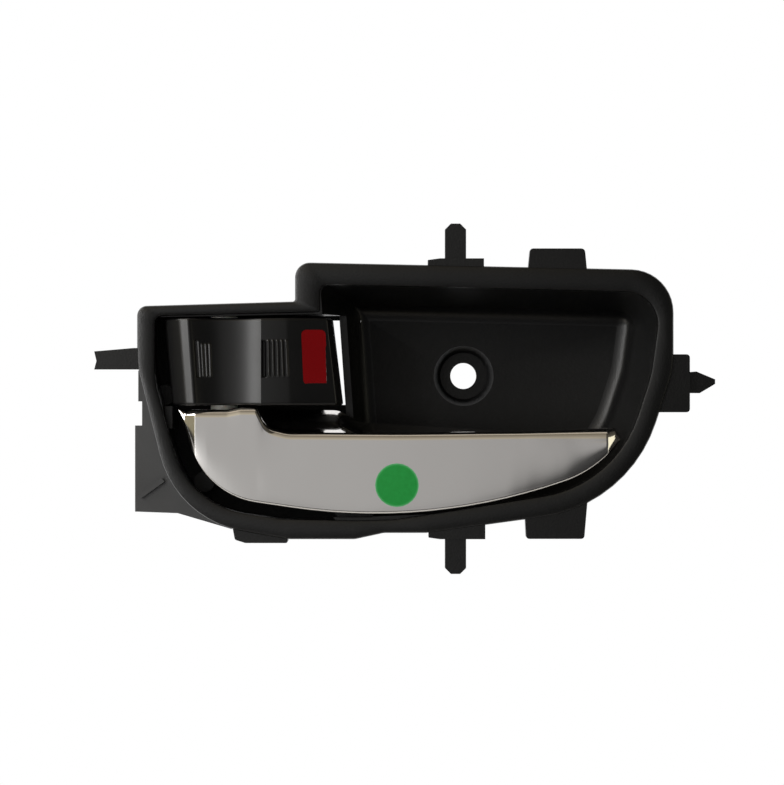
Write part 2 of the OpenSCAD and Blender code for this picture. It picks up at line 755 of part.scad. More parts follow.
// Torsion spring round the lever hub: one leg on the hub plate, one on the bay's rear wall
coil_r = hub_r + gap + wire_d / 2;
coil_low = arm_lever_z + arm_t / 2 + gap + wire_d / 2;
coil_pitch = wire_d + 0.1;
spring_path = [
    [pivot_x - coil_r, shell_in_y + plate_t + gap, coil_low],
    [pivot_x - coil_r, pivot_y - 2, coil_low],
    for (i = [0:16 * spring_turns])
        let (a = 180 - i * 22.5)
        [pivot_x + coil_r * cos(a), pivot_y + coil_r * sin(a), coil_low + coil_pitch * i / 16],
    [pivot_x - coil_r, pivot_y + 2, coil_low + coil_pitch * spring_turns],
    [pivot_x - coil_r, floor_y - gap, coil_low + coil_pitch * spring_turns]
];
function wire_ring(path, i, r, sides) =
    let (d = path_dir(path, i), s = unit([d[1], -d[0], 0]), u = cross(s, d))
    [for (k = [0:sides - 1]) path[i] + r * (cos(360 * k / sides) * s + sin(360 * k / sides) * u)];
module return_spring() {
    color([0.5, 0.5, 0.52])
    loft([for (i = [0:len(spring_path) - 1]) wire_ring(spring_path, i, wire_d / 2, 8)]);
}

// Lock rocker. Its section is given from the pivot across and from the bezel's face inwards.
ridge_x = -8.4;
lip_x = knob_r - 21.8;
lip_out = 0.85;
knob_left = 16.6;
knob_end = knob_r + 6.4;
swell_x = knob_r - 14;
knob_lean = 0.1;
// The dish spans ridge to lip, and its curve keeps within its two sides
dish_x = (ridge_x + lip_x) / 2;
dish_half = (lip_x - ridge_x) / 2;
dish_r = min(21, 0.96 * norm([dish_half, dish_deep * 2]) * dish_half / (dish_deep * 2));
// Front line at a height z: the left side leans to the right towards the foot
function knob_line(z) =
    let (s = knob_lean * (4 - z))
    open_line([
        [-knob_left + s, 8],
        [-knob_left + s, 3.2, 1.8],
        [-10.6 + 0.7 * s, -1.7, 1.2],
        [ridge_x + 0.7 * s, -lip_out, 0.5],
        [dish_x, -lip_out + dish_deep * 2, dish_r],
        [lip_x, -lip_out, 0.4],
        [swell_x, -lip_out - 0.2, 8],
        [knob_end, 1]
    ], 12);
knob_slope = (1 + lip_out + 0.2) / (knob_end - swell_x);
knob_back = 9.5;
function knob_outline(z) =
    let (line = knob_line(z))
    [for (p = [each line, [knob_end, knob_back], [8, knob_back + 4.5], [-8, knob_back + 4.5],
        [line[0][0], knob_back]]) [pivot_x + p[0], face_y + p[1]]];
function at_z(points, z) = [for (p = points) [p[0], p[1], z]];
hollow_x = pivot_x - knob_left + knob_t + 1.4;
rib_low = -0.5;
rib_high = 10.8;
marker_x = knob_r - 5.6;
marker_z = (knob_top - knob_low) / 2 + 1.35;
marker_y = face_y - lip_out - 0.2 + (marker_x - swell_x) * knob_slope;
marker_t = 1;
module marker_plate(grow, t) {
    w = marker_w / 2 + grow;
    h = marker_h / 2 + grow;
    lean = 0.35;
    translate([pivot_x + marker_x, marker_y, marker_z]) rotate([90, 0, atan(knob_slope)])
        translate([0, 0, -t]) linear_extrude(t + 0.15)
            polygon(outline([
                [-w - lean, h, 1.5 + grow], [w - lean, h, 1.5 + grow],
                [w + lean, -h, 1.5 + grow], [-w + lean, -h, 1.5 + grow]
            ], 0, 4));
}
module knob_cone(grow) {
    at_pivot(-knob_low - 1)
        cylinder(r1 = knob_r + knob_flare + grow, r2 = knob_r + grow, h = knob_top + knob_low + 2, $fn = 96);
}
module lock_knob() {
    color([0.05, 0.05, 0.055])
    difference() {
        intersection() {
            union() {
                difference() {
                    loft([for (z = [-knob_low, knob_top]) at_z(knob_outline(z), z)]);
                    intersection() {
                        translate([0, 0, -knob_low + knob_t])
                            linear_extrude(knob_top + knob_low - 2 * knob_t) {
                                offset(delta = -knob_t) polygon(knob_outline(4));
                                translate([hollow_x, face_y + knob_back - 2.5]) square([knob_end * 2, 12]);
                            }
                        knob_cone(-knob_t);
                        box([hollow_x, face_y - 5, -knob_low], [0, 0, knob_top]);
                    }
                }
                // Ribs in the dish and behind its lip
                for (x = [for (k = [0:2]) ridge_x + 1.8 + 1.3 * k])
                    at_pivot(rib_low)
                        translate([x, lookup(x, knob_line(4)) - pivot_deep, 0])
                            cylinder(r = 0.45, h = rib_high - rib_low - 1);
                for (x = [for (k = [0:4]) lip_x + 2.2 + 1.3 * k])
                    at_pivot(rib_low) translate([x, -pivot_deep - lip_out, 0])
                        cylinder(r = 0.5, h = rib_high - rib_low);
            }
            // The end is a cone about the pivot, so that the slit beside it stays even
            knob_cone(0);
        }
        // Groove beside each group
        at_pivot(rib_low) translate([lip_x + 0.9, -pivot_deep - lip_out - 0.1, 0])
            cylinder(r = 0.55, h = rib_high - rib_low);
        at_pivot(rib_low) translate([ridge_x + 0.4, -pivot_deep - lip_out + 0.3, 0])
            cylinder(r = 0.55, h = rib_high - rib_low - 1);
        marker_plate(0.05, marker_t);
        at_pivot(-knob_low - 1) cylinder(r = hub_r + 0.1, h = knob_top + knob_low + 2);
    }
}
module lock_marker() {
    color([0.8, 0.03, 0.03]) marker_plate(0, marker_t - 0.02);
}

// Hub of the rocker, with flanges against the rocker's end plates, a cable arm and a detent cam
cam_r = 8;
flange_r = 11;
web_front = 4.2;
cam_low = 6;
cam_high = 11;
notch_r = 1.3;
module lock_hub() {
    color([0.9, 0.89, 0.84])
    difference() {
        union() {
            at_pivot(lock_hub_low) cylinder(r = hub_r, h = knob_top - lock_hub_low);
            intersection() {
                union() {
                    at_pivot(knob_top - knob_t - 1.5) cylinder(r = flange_r, h = 1.5);
                    at_pivot(-knob_low + knob_t) cylinder(r = flange_r, h = 1.5);
                }
                box([pivot_x - flange_r, pivot_y - 5, -20], [pivot_x + flange_r, pivot_y + 3.4, 20]);
            }
            cable_arm(arm_lock_z);
            // Cam sector
            intersection() {
                at_pivot(cam_low) cylinder(r = cam_r, h = cam_high - cam_low);
                at_pivot(cam_low) rotate([0, 0, 90 - rock / 2])
                    translate([0, -cam_r * 0.7, 0]) cube([cam_r * 2, cam_r * 1.4, cam_high]);
            }
            // Web towards the rocker's skin
            box([pivot_x - 1, pivot_y - pivot_deep + web_front, -knob_low + knob_t],
                [pivot_x + 1, pivot_y, knob_top - knob_t]);
        }
        at_pivot(lock_hub_low - 1) cylinder(r = bore_r, h = knob_top - lock_hub_low + 2);
        arm_holes(arm_lock_z);
        for (a = [90, 90 - rock])
            at_pivot(cam_low - 1) rotate([0, 0, a]) translate([cam_r + 0.4, 0, 0])
                cylinder(r = notch_r, h = cam_high - cam_low + 2);
    }
}

// Detent leaf: a bowed strip on the bay's rear wall, its nose in the cam's notch
nose_y = pivot_y + cam_r + 0.4 - notch_r + gap;
leaf_line = open_line([
    [-9, floor_y - leaf_t / 2], [-7, floor_y - leaf_t / 2, 0.6], [-6, nose_y + 3, 2.5], [-1, nose_y + 1.4, 1],
    [0, nose_y - 0.2, 0.8], [1, nose_y + 1.4, 1], [6, nose_y + 3, 2.5], [7, floor_y - leaf_t / 2, 0.6],
    [9, floor_y - leaf_t / 2]
], 4);
function path_dir(path, i) =
    unit(path[min(i + 1, len(path) - 1)] - path[max(i - 1, 0)]);
function beside(path, d) = [for (i = [0:len(path) - 1]) path[i] + right_of(path_dir(path, i)) * d];
module detent_spring() {
    color([0.6, 0.6, 0.62])
    translate([pivot_x, 0, cam_low + 0.5]) linear_extrude(cam_high - cam_low - 1)
        polygon([each beside(leaf_line, leaf_t / 2), each reversed(beside(leaf_line, -leaf_t / 2))]);
}

// Rubber stops
module rest_bumper() {
    color([0.12, 0.12, 0.12])
    rod_y(button_x, button_z, shell_in_y + gap, shell_in_y + gap + button_h, button_d / 2);
}
pad_w = 4.4;
pad_h = 4;
module open_bumper() {
    x = pivot_x + sweep_at(floor_y, swing) + gap;
    color([0.12, 0.12, 0.12])
    box([x, floor_y - pad_h, arm_lever_z - pad_w / 2], [x + pad_w, floor_y, arm_lever_z + pad_w / 2]);
}
module knob_bumpers() {
    color([0.12, 0.12, 0.12])
    for (x = [pivot_x + hub_r + gap, pivot_x - sweep_at(floor_y, rock) - gap - pad_w])
        box([x, floor_y - pad_h, arm_lock_z - pad_w / 2], [x + pad_w, floor_y, arm_lock_z + pad_w / 2]);
}

// Round paper dot that follows the lever's crowned face
dot_r = 6.6;
dot_x = -21;
dot_z = -33.2;
dot_t = 0.15;
function face_at(x, z) =
    let (
        zb = lookup(x, low_line) + 2.2,
        zt = lookup(x, top_line) - roll_r,
        f = (z - zb) / (zt - zb)
    )
    lookup(x, face_line) - crown * 4 * f * (1 - f);
function dot_ring(r, out) = [
    for (a = [0:15:345])
        let (x = dot_x + r * cos(a), z = dot_z - r * sin(a))
        [x, face_at(x, z) - out, z]
];
module inspection_dot() {
    color([0.05, 0.6, 0.2])
    loft([
        for (r = [0.02, 0.35, 0.7, 1]) dot_ring(dot_r * r, 0.06 + dot_t),
        for (r = [1, 0.7, 0.35, 0.02]) dot_ring(dot_r * r, 0.06)
    ]);
}

housing();
cable_bracket();
bracket_screws();
pivot_pin();
pin_clip();
lever_shell();
lever_hub();
return_spring();
hub_washer();
top_washer();
lock_knob();
lock_hub();
lock_marker();
detent_spring();
rest_bumper();
open_bumper();
knob_bumpers();
inspection_dot();
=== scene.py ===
"""Inside release handle of a car door, dressed for the camera: grained black housing, chrome pull lever,
gloss black lock rocker, cable bracket behind, and the pin, springs, hubs and stops that carry them."""

import math

import bmesh
import bpy
import numpy as np
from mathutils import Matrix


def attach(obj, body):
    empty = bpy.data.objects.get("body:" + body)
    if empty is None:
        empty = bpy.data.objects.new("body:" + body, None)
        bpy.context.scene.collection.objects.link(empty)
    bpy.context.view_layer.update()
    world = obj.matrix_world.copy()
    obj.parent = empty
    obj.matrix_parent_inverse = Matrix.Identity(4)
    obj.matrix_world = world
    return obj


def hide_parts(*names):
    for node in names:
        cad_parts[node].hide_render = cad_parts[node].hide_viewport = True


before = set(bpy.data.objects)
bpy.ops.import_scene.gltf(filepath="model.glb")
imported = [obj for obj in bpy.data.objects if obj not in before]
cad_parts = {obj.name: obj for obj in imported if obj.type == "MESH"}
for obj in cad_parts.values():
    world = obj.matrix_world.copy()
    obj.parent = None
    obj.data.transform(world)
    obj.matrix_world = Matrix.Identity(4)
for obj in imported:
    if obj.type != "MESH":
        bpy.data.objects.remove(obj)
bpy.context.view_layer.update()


# Housing: one injection moulding in black talc-filled polypropylene, with a fine spark-eroded grain on the
# bezel and a coarser one on the cup's floor and the screw seat. The floor and the seat also get a darker base
# and a lower specular level than the bezel, which paint the shade of the recess. It hooks into the door trim
# by its stems, tabs, tongue and arrow clip, and one screw holds it. Its solid carries over, merged to shade
# as curves.

def smooth_copy(node, body, sharp=28.0):
    """The CAD node's triangles with coincident corners merged and slivers dissolved. Edges that turn by more
    than the sharp angle stay crisp, and all others shade as one curve."""
    weld, sliver = 2e-6, 1e-7
    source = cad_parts[node]
    mesh = source.data.copy()
    mesh.name = node + "_smooth"
    soup = bmesh.new()
    soup.from_mesh(mesh)
    bmesh.ops.remove_doubles(soup, verts=soup.verts, dist=weld)
    bmesh.ops.dissolve_degenerate(soup, edges=soup.edges, dist=sliver)
    soup.to_mesh(mesh)
    soup.free()
    if mesh.has_custom_normals:
        mesh.attributes.remove(mesh.attributes["custom_normal"])
    mesh.shade_smooth()
    mesh.set_sharp_from_angle(angle=math.radians(sharp))
    piece = bpy.data.objects.new(node + "_dressed", mesh)
    bpy.context.scene.collection.objects.link(piece)
    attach(piece, body)
    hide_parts(node)
    return piece


def paint(piece, material):
    """Puts one material on a piece in place of what it came with."""
    piece.data.materials.clear()
    piece.data.materials.append(material)


def new_material(name, **sockets):
    """A Principled material, its constant values set on its own sockets."""
    material = bpy.data.materials.new(name)
    material.use_nodes = True
    shader = material.node_tree.nodes["Principled BSDF"]
    for socket, value in sockets.items():
        shader.inputs[socket.replace("_", " ")].default_value = value
    return material, material.node_tree, shader


def group_tree(name, inputs, outputs):
    """An empty shader node group with named sockets. A socket is (name, type, default)."""
    tree = bpy.data.node_groups.new(name, "ShaderNodeTree")
    for label, kind, value in inputs:
        socket = tree.interface.new_socket(name=label, in_out="INPUT", socket_type="NodeSocket" + kind)
        socket.default_value = value
    for label, kind in outputs:
        tree.interface.new_socket(name=label, in_out="OUTPUT", socket_type="NodeSocket" + kind)
    return tree, tree.nodes.new("NodeGroupInput"), tree.nodes.new("NodeGroupOutput")


def add(tree, kind, links=(), **settings):
    """Adds a node. A setting that starts with in_ sets the value of the socket with that index or label, and
    any other sets the node itself."""
    node = tree.nodes.new("ShaderNode" + kind)
    for key, value in settings.items():
        if key.startswith("in_"):
            label = key[3:]
            node.inputs[int(label) if label.isdigit() else label].default_value = value
        else:
            setattr(node, key, value)
    for source, target in links:
        tree.links.new(source, node.inputs[target])
    return node


def reckon(tree, operation, first, second, clamp=False):
    """The result of a Math node. Each operand is another node's output or a number."""
    node = add(tree, "Math", operation=operation, use_clamp=clamp)
    for index, operand in enumerate((first, second)):
        if isinstance(operand, float):
            node.inputs[index].default_value = operand
        else:
            tree.links.new(operand, node.inputs[index])
    return node.outputs[0]


def rescaled(tree, value, before, after=(0.0, 1.0), **settings):
    """A value carried from one range to another and held at the ends."""
    return add(tree, "MapRange", [(value, "Value")], in_1=before[0], in_2=before[1],
               in_3=after[0], in_4=after[1], **settings).outputs[0]


def blended(tree, share, first, second):
    """A mix of two colours by a share. Each colour is another node's output or a constant."""
    node = add(tree, "Mix", [(share, 0)], data_type="RGBA")
    for index, colour in ((6, first), (7, second)):
        if isinstance(colour, tuple):
            node.inputs[index].default_value = (*colour, 1)
        else:
            tree.links.new(colour, node.inputs[index])
    return node.outputs[2]


def noise(tree, place, scale, detail=2.0):
    """A noise texture's value, its scale in cells per metre."""
    return add(tree, "TexNoise", [(place, "Vector")], in_Scale=scale, in_Detail=detail).outputs["Fac"]


def feed(tree, node, **sources):
    """Links other nodes' outputs to a node's sockets, which are named with _ for a space."""
    for label, source in sources.items():
        tree.links.new(source, node.inputs[label.replace("_", " ")])


def moulded_skin():
    """Moulded plastic skin. Height is a fine cell grain plus a finer noise, over a long crown that falls with
    the square of the distance from a centre line. Tone drifts over centimetres, and sparse specks of dust
    lift tone and roughness."""
    tree, given, out = group_tree(
        "moulded skin",
        [("Base", "Color", (0.02, 0.02, 0.02, 1)), ("Grain per m", "Float", 1800.0),
         ("Grain depth", "Float", 0.5), ("Roughness", "Float", 0.5), ("Drift", "Float", 0.15),
         ("Dust", "Float", 0.3), ("Crown left", "Float", 0.0), ("Crown right", "Float", 0.0),
         ("Crown centre", "Float", 0.0)],
        [("Color", "Color"), ("Roughness", "Float"), ("Normal", "Vector")])
    given = given.outputs
    grain_height, rough_swing = 0.00006, 0.04
    dust_colour = (0.12, 0.115, 0.105)
    place = add(tree, "TexCoord").outputs["Object"]

    cells = add(tree, "TexVoronoi", [(place, "Vector"), (given["Grain per m"], "Scale")],
                feature="F1", in_Randomness=0.9)
    height = reckon(tree, "ADD", cells.outputs["Distance"], noise(tree, place, 5200.0))
    across = add(tree, "SeparateXYZ", [(place, 0)]).outputs["X"]
    right = reckon(tree, "SUBTRACT", across, given["Crown centre"])
    falls = []
    for sign, side in ((1.0, "Crown right"), (-1.0, "Crown left")):
        run = reckon(tree, "MAXIMUM", reckon(tree, "MULTIPLY", right, sign), 0.0)
        falls.append(reckon(tree, "MULTIPLY", reckon(tree, "MULTIPLY", run, run), given[side]))
    drop = reckon(tree, "MULTIPLY", reckon(tree, "ADD", *falls), -1.0)
    crown = add(tree, "Bump", [(drop, "Height")], in_Strength=1.0, in_Distance=1.0)
    bump = add(tree, "Bump", [(height, "Height"), (given["Grain depth"], "Strength"),
                              (crown.outputs[0], "Normal")], in_Distance=grain_height)

    drift = rescaled(tree, noise(tree, place, 38.0, 4.0), (0.3, 0.7), (-1.0, 1.0))
    lift = reckon(tree, "ADD", reckon(tree, "MULTIPLY", drift, given["Drift"]), 1.0)
    toned = add(tree, "VectorMath", [(given["Base"], 0), (lift, "Scale")], operation="SCALE").outputs[0]
    specks = rescaled(tree, noise(tree, place, 900.0, 1.0), (0.70, 0.78))
    dust = reckon(tree, "MULTIPLY", specks, given["Dust"])
    rough = reckon(tree, "ADD", given["Roughness"], reckon(tree, "MULTIPLY", drift, rough_swing))
    feed(tree, out, Color=blended(tree, dust, toned, dust_colour),
         Roughness=reckon(tree, "ADD", rough, dust, clamp=True), Normal=bump.outputs[0])
    return tree


skin_group = moulded_skin()


def plastic(name, base, grain, depth, rough, drift=0.15, dust=0.1, crown=(0, 0, 0), **sockets):
    """A moulded plastic: the skin group drives tone, roughness and normal of a Principled shader. The crown
    is its fall to the left, its fall to the right and its centre along X."""
    material, tree, shader = new_material(name, **sockets)
    skin = tree.nodes.new("ShaderNodeGroup")
    skin.node_tree = skin_group
    given = {"Base": (*base, 1), "Grain per m": grain, "Grain depth": depth, "Roughness": rough,
             "Drift": drift, "Dust": dust,
             "Crown left": crown[0], "Crown right": crown[1], "Crown centre": crown[2]}
    for label, value in given.items():
        skin.inputs[label].default_value = value
    feed(tree, shader, Base_Color=skin.outputs["Color"], Roughness=skin.outputs["Roughness"],
         Normal=skin.outputs["Normal"])
    return material


housing = smooth_copy("housing", "housing_body", sharp=34)
housing_crown = (0.20, 0.44, -0.025)
paint(housing, plastic("grained black moulding", (0.0045, 0.0046, 0.0048), 1500.0, 0.4, 0.33, dust=0.03,
                       crown=housing_crown, Specular_IOR_Level=0.45))
# Second material, for the cup's floor and the screw seat: a coarser grain, plus a darker base and a lower
# specular level that paint the shade of the recess
housing.data.materials.append(plastic(
    "coarse black floor with painted shade", (0.0040, 0.0041, 0.0042), 1100.0, 0.5, 0.48, dust=0.03,
    crown=housing_crown, Specular_IOR_Level=0.28))

# The coarse grain and the painted shade go on the faces of the cup's floor and the screw seat: those in its
# range of Y that look at the camera
floor_front, floor_back, facing_limit = -0.0070, -0.0020, -0.99
faces = housing.data.polygons
middles, normals = np.empty(len(faces) * 3), np.empty(len(faces) * 3)
faces.foreach_get("center", middles)
faces.foreach_get("normal", normals)
middle_y, normal_y = middles[1::3], normals[1::3]
shaded_floor_faces = (middle_y > floor_front) & (middle_y < floor_back) & (normal_y < facing_limit)
faces.foreach_set("material_index", shaded_floor_faces.astype(np.int32))


# Cable bracket: a plain moulding in a lighter grey, screwed to the back of the bay. Its two posts hold the
# ends of the cable sheaths. It comes from a smoother tool than the housing.

bracket = smooth_copy("cable_bracket", "housing_body")
paint(bracket, plastic("plain grey moulding", (0.055, 0.056, 0.058), 2600.0, 0.2, 0.48))


# Bracket screws: zinc plated thread-cutting screws with crossed heads, driven through the bracket into the
# back of the bay. The plate has a faint yellow cast.

def plated_metal(name, base, tint, rough, streaks, stretch):
    """Drawn or turned metal. A noise stretched along one axis gives fine streaks in roughness and normal,
    and a wide noise drifts the colour towards a tint."""
    material, tree, shader = new_material(name, Metallic=1.0)
    place = add(tree, "TexCoord").outputs["Object"]
    pulled = add(tree, "Mapping", [(place, "Vector")], in_Scale=stretch).outputs[0]
    lines = noise(tree, pulled, streaks, 3.0)
    bump = add(tree, "Bump", [(lines, "Height")], in_Strength=0.25, in_Distance=0.00003)
    feed(tree, shader, Base_Color=blended(tree, noise(tree, place, 260.0, 3.0), base, tint),
         Roughness=rescaled(tree, lines, (0.0, 1.0), (rough * 0.75, rough * 1.3)), Normal=bump.outputs[0])
    return material


screws = smooth_copy("bracket_screws", "housing_body")
paint(screws, plated_metal("zinc plate", (0.62, 0.61, 0.57), (0.52, 0.47, 0.34), 0.32, 900.0, (1, 1, 1)))


# Pivot pin and E-clip: a turned steel pin dropped in from the top of the bay, and a stamped clip of the same
# steel that keeps it there.

turned_steel = plated_metal(
    "turned steel", (0.58, 0.57, 0.56), (0.48, 0.47, 0.45), 0.26, 1400.0, (0.15, 0.15, 3.0))
for node in ("pivot_pin", "pin_clip"):
    paint(smooth_copy(node, "housing_body"), turned_steel)


# Lever hub: glass-filled black nylon, staked to the back of the shell. It turns on the pin and pulls the
# release cable with its arm.

nylon = plastic("black nylon", (0.018, 0.018, 0.018), 3200.0, 0.3, 0.62, drift=0.3, dust=0.2)
paint(smooth_copy("lever_hub", "lever"), nylon)


# Lock hub, hub washer and top washer: natural white acetal, slippery and slightly see-through at its edges.
# The lock hub carries the rocker and its cable arm, and the washers part the hubs and the bay's top wall.

acetal = plastic("natural acetal", (0.72, 0.70, 0.63), 2400.0, 0.1, 0.38, drift=0.05, dust=0.1,
                 Subsurface_Weight=0.08, Subsurface_Scale=0.002)
for node, body in (("lock_hub", "rocker"), ("hub_washer", "lever"), ("top_washer", "housing_body")):
    paint(smooth_copy(node, body), acetal)


# Springs: music wire wound round the lever hub, and a bowed leaf that clicks into the lock hub's notches.
# Both are left dark and oiled.

spring_steel = plated_metal(
    "oiled spring steel", (0.22, 0.22, 0.23), (0.15, 0.145, 0.14), 0.3, 2200.0, (1, 1, 0.2))
for node, body in (("return_spring", "lever"), ("detent_spring", "housing_body")):
    paint(smooth_copy(node, body), spring_steel)


# Rubber stops: moulded black buttons and pads that the lever and the rocker come to rest on. They sit on the
# walls of the bay.

rubber = plastic("black rubber", (0.02, 0.02, 0.02), 1100.0, 0.25, 0.85, drift=0.25, dust=0.6)
for node in ("rest_bumper", "open_bumper", "knob_bumpers"):
    paint(smooth_copy(node, "housing_body"), rubber)


# Pull lever: an ABS moulding with bright chrome plate, about 134 mm long. Its long tapering face bulges a
# little, its top edge rolls back over the fingers, and its neck sinks behind the rocker to the pivot.

def rounded_line(corners, steps=14):
    """A line through corners (x, value, radius). Each inner corner becomes an arc that touches both sides."""
    points = [corners[0][:2]]
    for (ax, ay, *_), (bx, by, r), (cx, cy, *_) in zip(corners, corners[1:], corners[2:]):
        a, b, c = np.array([ax, ay]), np.array([bx, by]), np.array([cx, cy])
        u, v = (b - a) / np.linalg.norm(b - a), (c - b) / np.linalg.norm(c - b)
        turn = math.atan2(u[0] * v[1] - u[1] * v[0], u @ v)
        side = np.array([-u[1], u[0]]) * math.copysign(1, turn)
        centre = b - u * r * math.tan(abs(turn) / 2) + side * r
        t = turn * np.linspace(0, 1, steps + 1)
        q = -side * r
        arc = np.stack([q[0] * np.cos(t) - q[1] * np.sin(t), q[0] * np.sin(t) + q[1] * np.cos(t)], 1)
        points.extend((centre + arc).tolist())
    points.append(corners[-1][:2])
    return np.array(points)


def along(x, corners):
    """The rounded line's value at each x."""
    line = rounded_line(corners)
    return np.interp(x, line[:, 0], line[:, 1])


lever_left, lever_tip = -87.4, 46.9
pivot_x, pivot_y = -74.0, -25.0

# Heights along X: the lower edge, the top edge and the rear of the top wall
lever_low = [(lever_left, -10.6), (-78.35, -36.5, 24.2), (-11, -46.3, 177), (40.3, -28.7, 35.5),
             (lever_tip, -19.7)]
lever_top = [(lever_left, -10.4), (-72.5, -10.4, 3), (-68.5, -9.6, 3), (-63.6, -9.6, 1.2), (-60.4, -15.6, 6),
             (-54, -17.1, 12), (-20, -17.3, 300), (18, -16.9, 150), (45.5, -16.0, 0.7), (lever_tip, -19.1)]
lever_rear = [(lever_left, -10.4), (-39, -10.7, 7), (-32, -14.4, 9), (lever_tip, -19.1)]
# Places in Y along X: the face and the back of the top wall
lever_face = [(lever_left, -32.3), (-82.2, -35.7, 0.15), (-14, -37.9, 500), (42.9, -35.5, 1.2),
              (lever_tip, -32.5)]
lever_depth = [(lever_left, -27.5), (-81.9, -24.5, 4), (-51, -21.5, 20), (24.9, -23.5, 30),
               (lever_tip, -29.5)]
lever_wall, lever_crown, low_edge = 2.2, 0.5, 0.9
roll_stops, roll_radii = [20, 42.9], [2.8, 3.8]
foot_reach, foot_gap = 5, 0.5
lip_most, lip_least, lip_inside = 1.2, 0.9, 0.02
pin_room = 4.9


def lever_section(x, skin):
    """Section square to X, as rows of points. From the foot's return it rounds the lower edge by a quarter
    circle, climbs the face on a parabola of the crown's height, rounds the rolled top edge by a quarter
    circle and slopes back to the rear edge, which is notched to leave room for the pivot pin. A skin above 0
    gives the inner wall, that far inside."""
    thin, straight, eased = 0.3, 0.55, 0.45
    low, top = along(x, lever_low), along(x, lever_top)
    rear = np.maximum(along(x, lever_rear), top)
    face, depth = along(x, lever_face), along(x, lever_depth)
    depth = np.where(np.abs(x - pivot_x) < pin_room, np.minimum(depth, pivot_y - pin_room), depth)
    inset = np.minimum(skin, (top - low) * thin)
    low, top, rear, face = low + inset, top - inset, rear - inset, face + inset

    tall = np.maximum(top - low, 0.05)
    r_low = np.minimum(low_edge - skin * 0.2, tall * thin)
    r_top = np.minimum(np.interp(x, roll_stops, roll_radii) - skin * 0.7, tall * 0.5)
    rows = [(np.minimum(face + foot_reach - inset, depth - foot_gap), low)]
    for a in np.radians(np.linspace(0, 90, 9)):
        rows.append((face + r_low * (1 - np.sin(a)), low + r_low * (1 - np.cos(a))))

    bulge = lever_crown * np.minimum(tall / 20, 1)
    for f in np.linspace(0, 1, 25)[1:-1]:
        rows.append((face - bulge * 4 * f * (1 - f), low + r_low + (tall - r_low - r_top) * f))
    for a in np.radians(np.linspace(0, 90, 11)):
        rows.append((face + r_top * (1 - np.cos(a)), top - r_top + r_top * np.sin(a)))

    start_y = face + r_top
    for f in np.linspace(0, 1, 13)[1:]:
        rise = f * f * (3 - 2 * f)
        rows.append((start_y + (depth - start_y) * f, top + (rear - top) * (straight * f + eased * rise)))
    lip = np.minimum(lip_most, inset + lip_least) * (1 if skin == 0 else lip_inside)
    rows.append((depth, rear - lip))

    y = np.stack([row[0] for row in rows], 1)
    z = np.stack([row[1] for row in rows], 1)
    return np.stack([np.repeat(x[:, None], len(rows), 1), y, z], 2)


def grid_faces(rows, columns, wrap=False):
    """Quads of a grid of points, row by row. With wrap the last column joins the first."""
    i = np.arange(rows - 1)[:, None] * columns
    j = np.arange(columns if wrap else columns - 1)[None, :]
    k = (j + 1) % columns
    return np.stack([i + j, i + k, i + columns + k, i + columns + j], 2).reshape(-1, 4)


def mesh_piece(name, points, faces, body, material, sharp=40.0):
    """A piece from points in millimetres and faces of any size, riding on a body. Normals are made to point
    outwards, and edges that turn by more than the sharp angle stay crisp."""
    metres = np.asarray(points).reshape(-1, 3) * 0.001
    mesh = bpy.data.meshes.new(name)
    mesh.from_pydata(metres.tolist(), [], [list(map(int, face)) for face in faces])
    soup = bmesh.new()
    soup.from_mesh(mesh)
    bmesh.ops.remove_doubles(soup, verts=soup.verts, dist=1e-6)
    bmesh.ops.recalc_face_normals(soup, faces=soup.faces)
    soup.to_mesh(mesh)
    soup.free()
    mesh.shade_smooth()
    mesh.set_sharp_from_angle(angle=math.radians(sharp))
    piece = bpy.data.objects.new(name, mesh)
    bpy.context.scene.collection.objects.link(piece)
    paint(piece, material)
    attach(piece, body)
    return piece


def bright_chrome():
    """Bright plate over moulded plastic: a mirror with a faint long wave from the moulding under it, fine
    polishing hairs and a warm haze."""
    material, tree, shader = new_material("bright chrome plate", Metallic=1.0)
    place = add(tree, "TexCoord").outputs["Object"]
    pulled = add(tree, "Mapping", [(place, "Vector")], in_Scale=(1.0, 6.0, 14.0)).outputs[0]
    wave, haze = noise(tree, place, 55.0, 1.0), noise(tree, place, 24.0, 3.0)
    hairs = noise(tree, pulled, 700.0, 3.0)
    waved = add(tree, "Bump", [(wave, "Height")], in_Strength=0.10, in_Distance=0.0012)
    haired = add(tree, "Bump", [(hairs, "Height"), (waved.outputs[0], "Normal")],
                 in_Strength=0.05, in_Distance=0.00002)
    feed(tree, shader, Base_Color=blended(tree, haze, (0.80, 0.775, 0.75), (0.85, 0.835, 0.815)),
         Roughness=rescaled(tree, hairs, (0.0, 1.0), (0.07, 0.15)), Normal=haired.outputs[0])
    return material


# Stations along X, closer together where the lines bend
station_stops = [lever_left, -82.3, -82.1, -64.5, -56, -24, 41.5, lever_tip]
station_counts = [20, 9, 50, 40, 60, 70, 40]
stations = np.concatenate([[lever_left]] + [
    np.linspace(start, stop, count)[1:]
    for start, stop, count in zip(station_stops, station_stops[1:], station_counts)])
inner_shrink, inner_shift = 0.976, 0.1
outer_skin = lever_section(stations, 0.0)
inner_skin = lever_section(stations * inner_shrink + inner_shift, lever_wall)
ring = np.concatenate([outer_skin, inner_skin[:, ::-1]], 1)
count = ring.shape[1]
k = np.arange(outer_skin.shape[1] - 1)
end_caps = [row * count + np.stack([k, k + 1, count - 2 - k, count - 1 - k], 1)
            for row in (0, len(stations) - 1)]
lever_faces = np.concatenate([grid_faces(len(stations), count, True), *end_caps])
lever = mesh_piece("lever_shell_plated", ring, lever_faces, "lever", bright_chrome())
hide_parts("lever_shell")


# Lock rocker: polished black ABS. A ridge and a finger dish run across it, with grip ribs on both sides, and
# its right end is turned about the pivot. It snaps over the flanges of the lock hub.

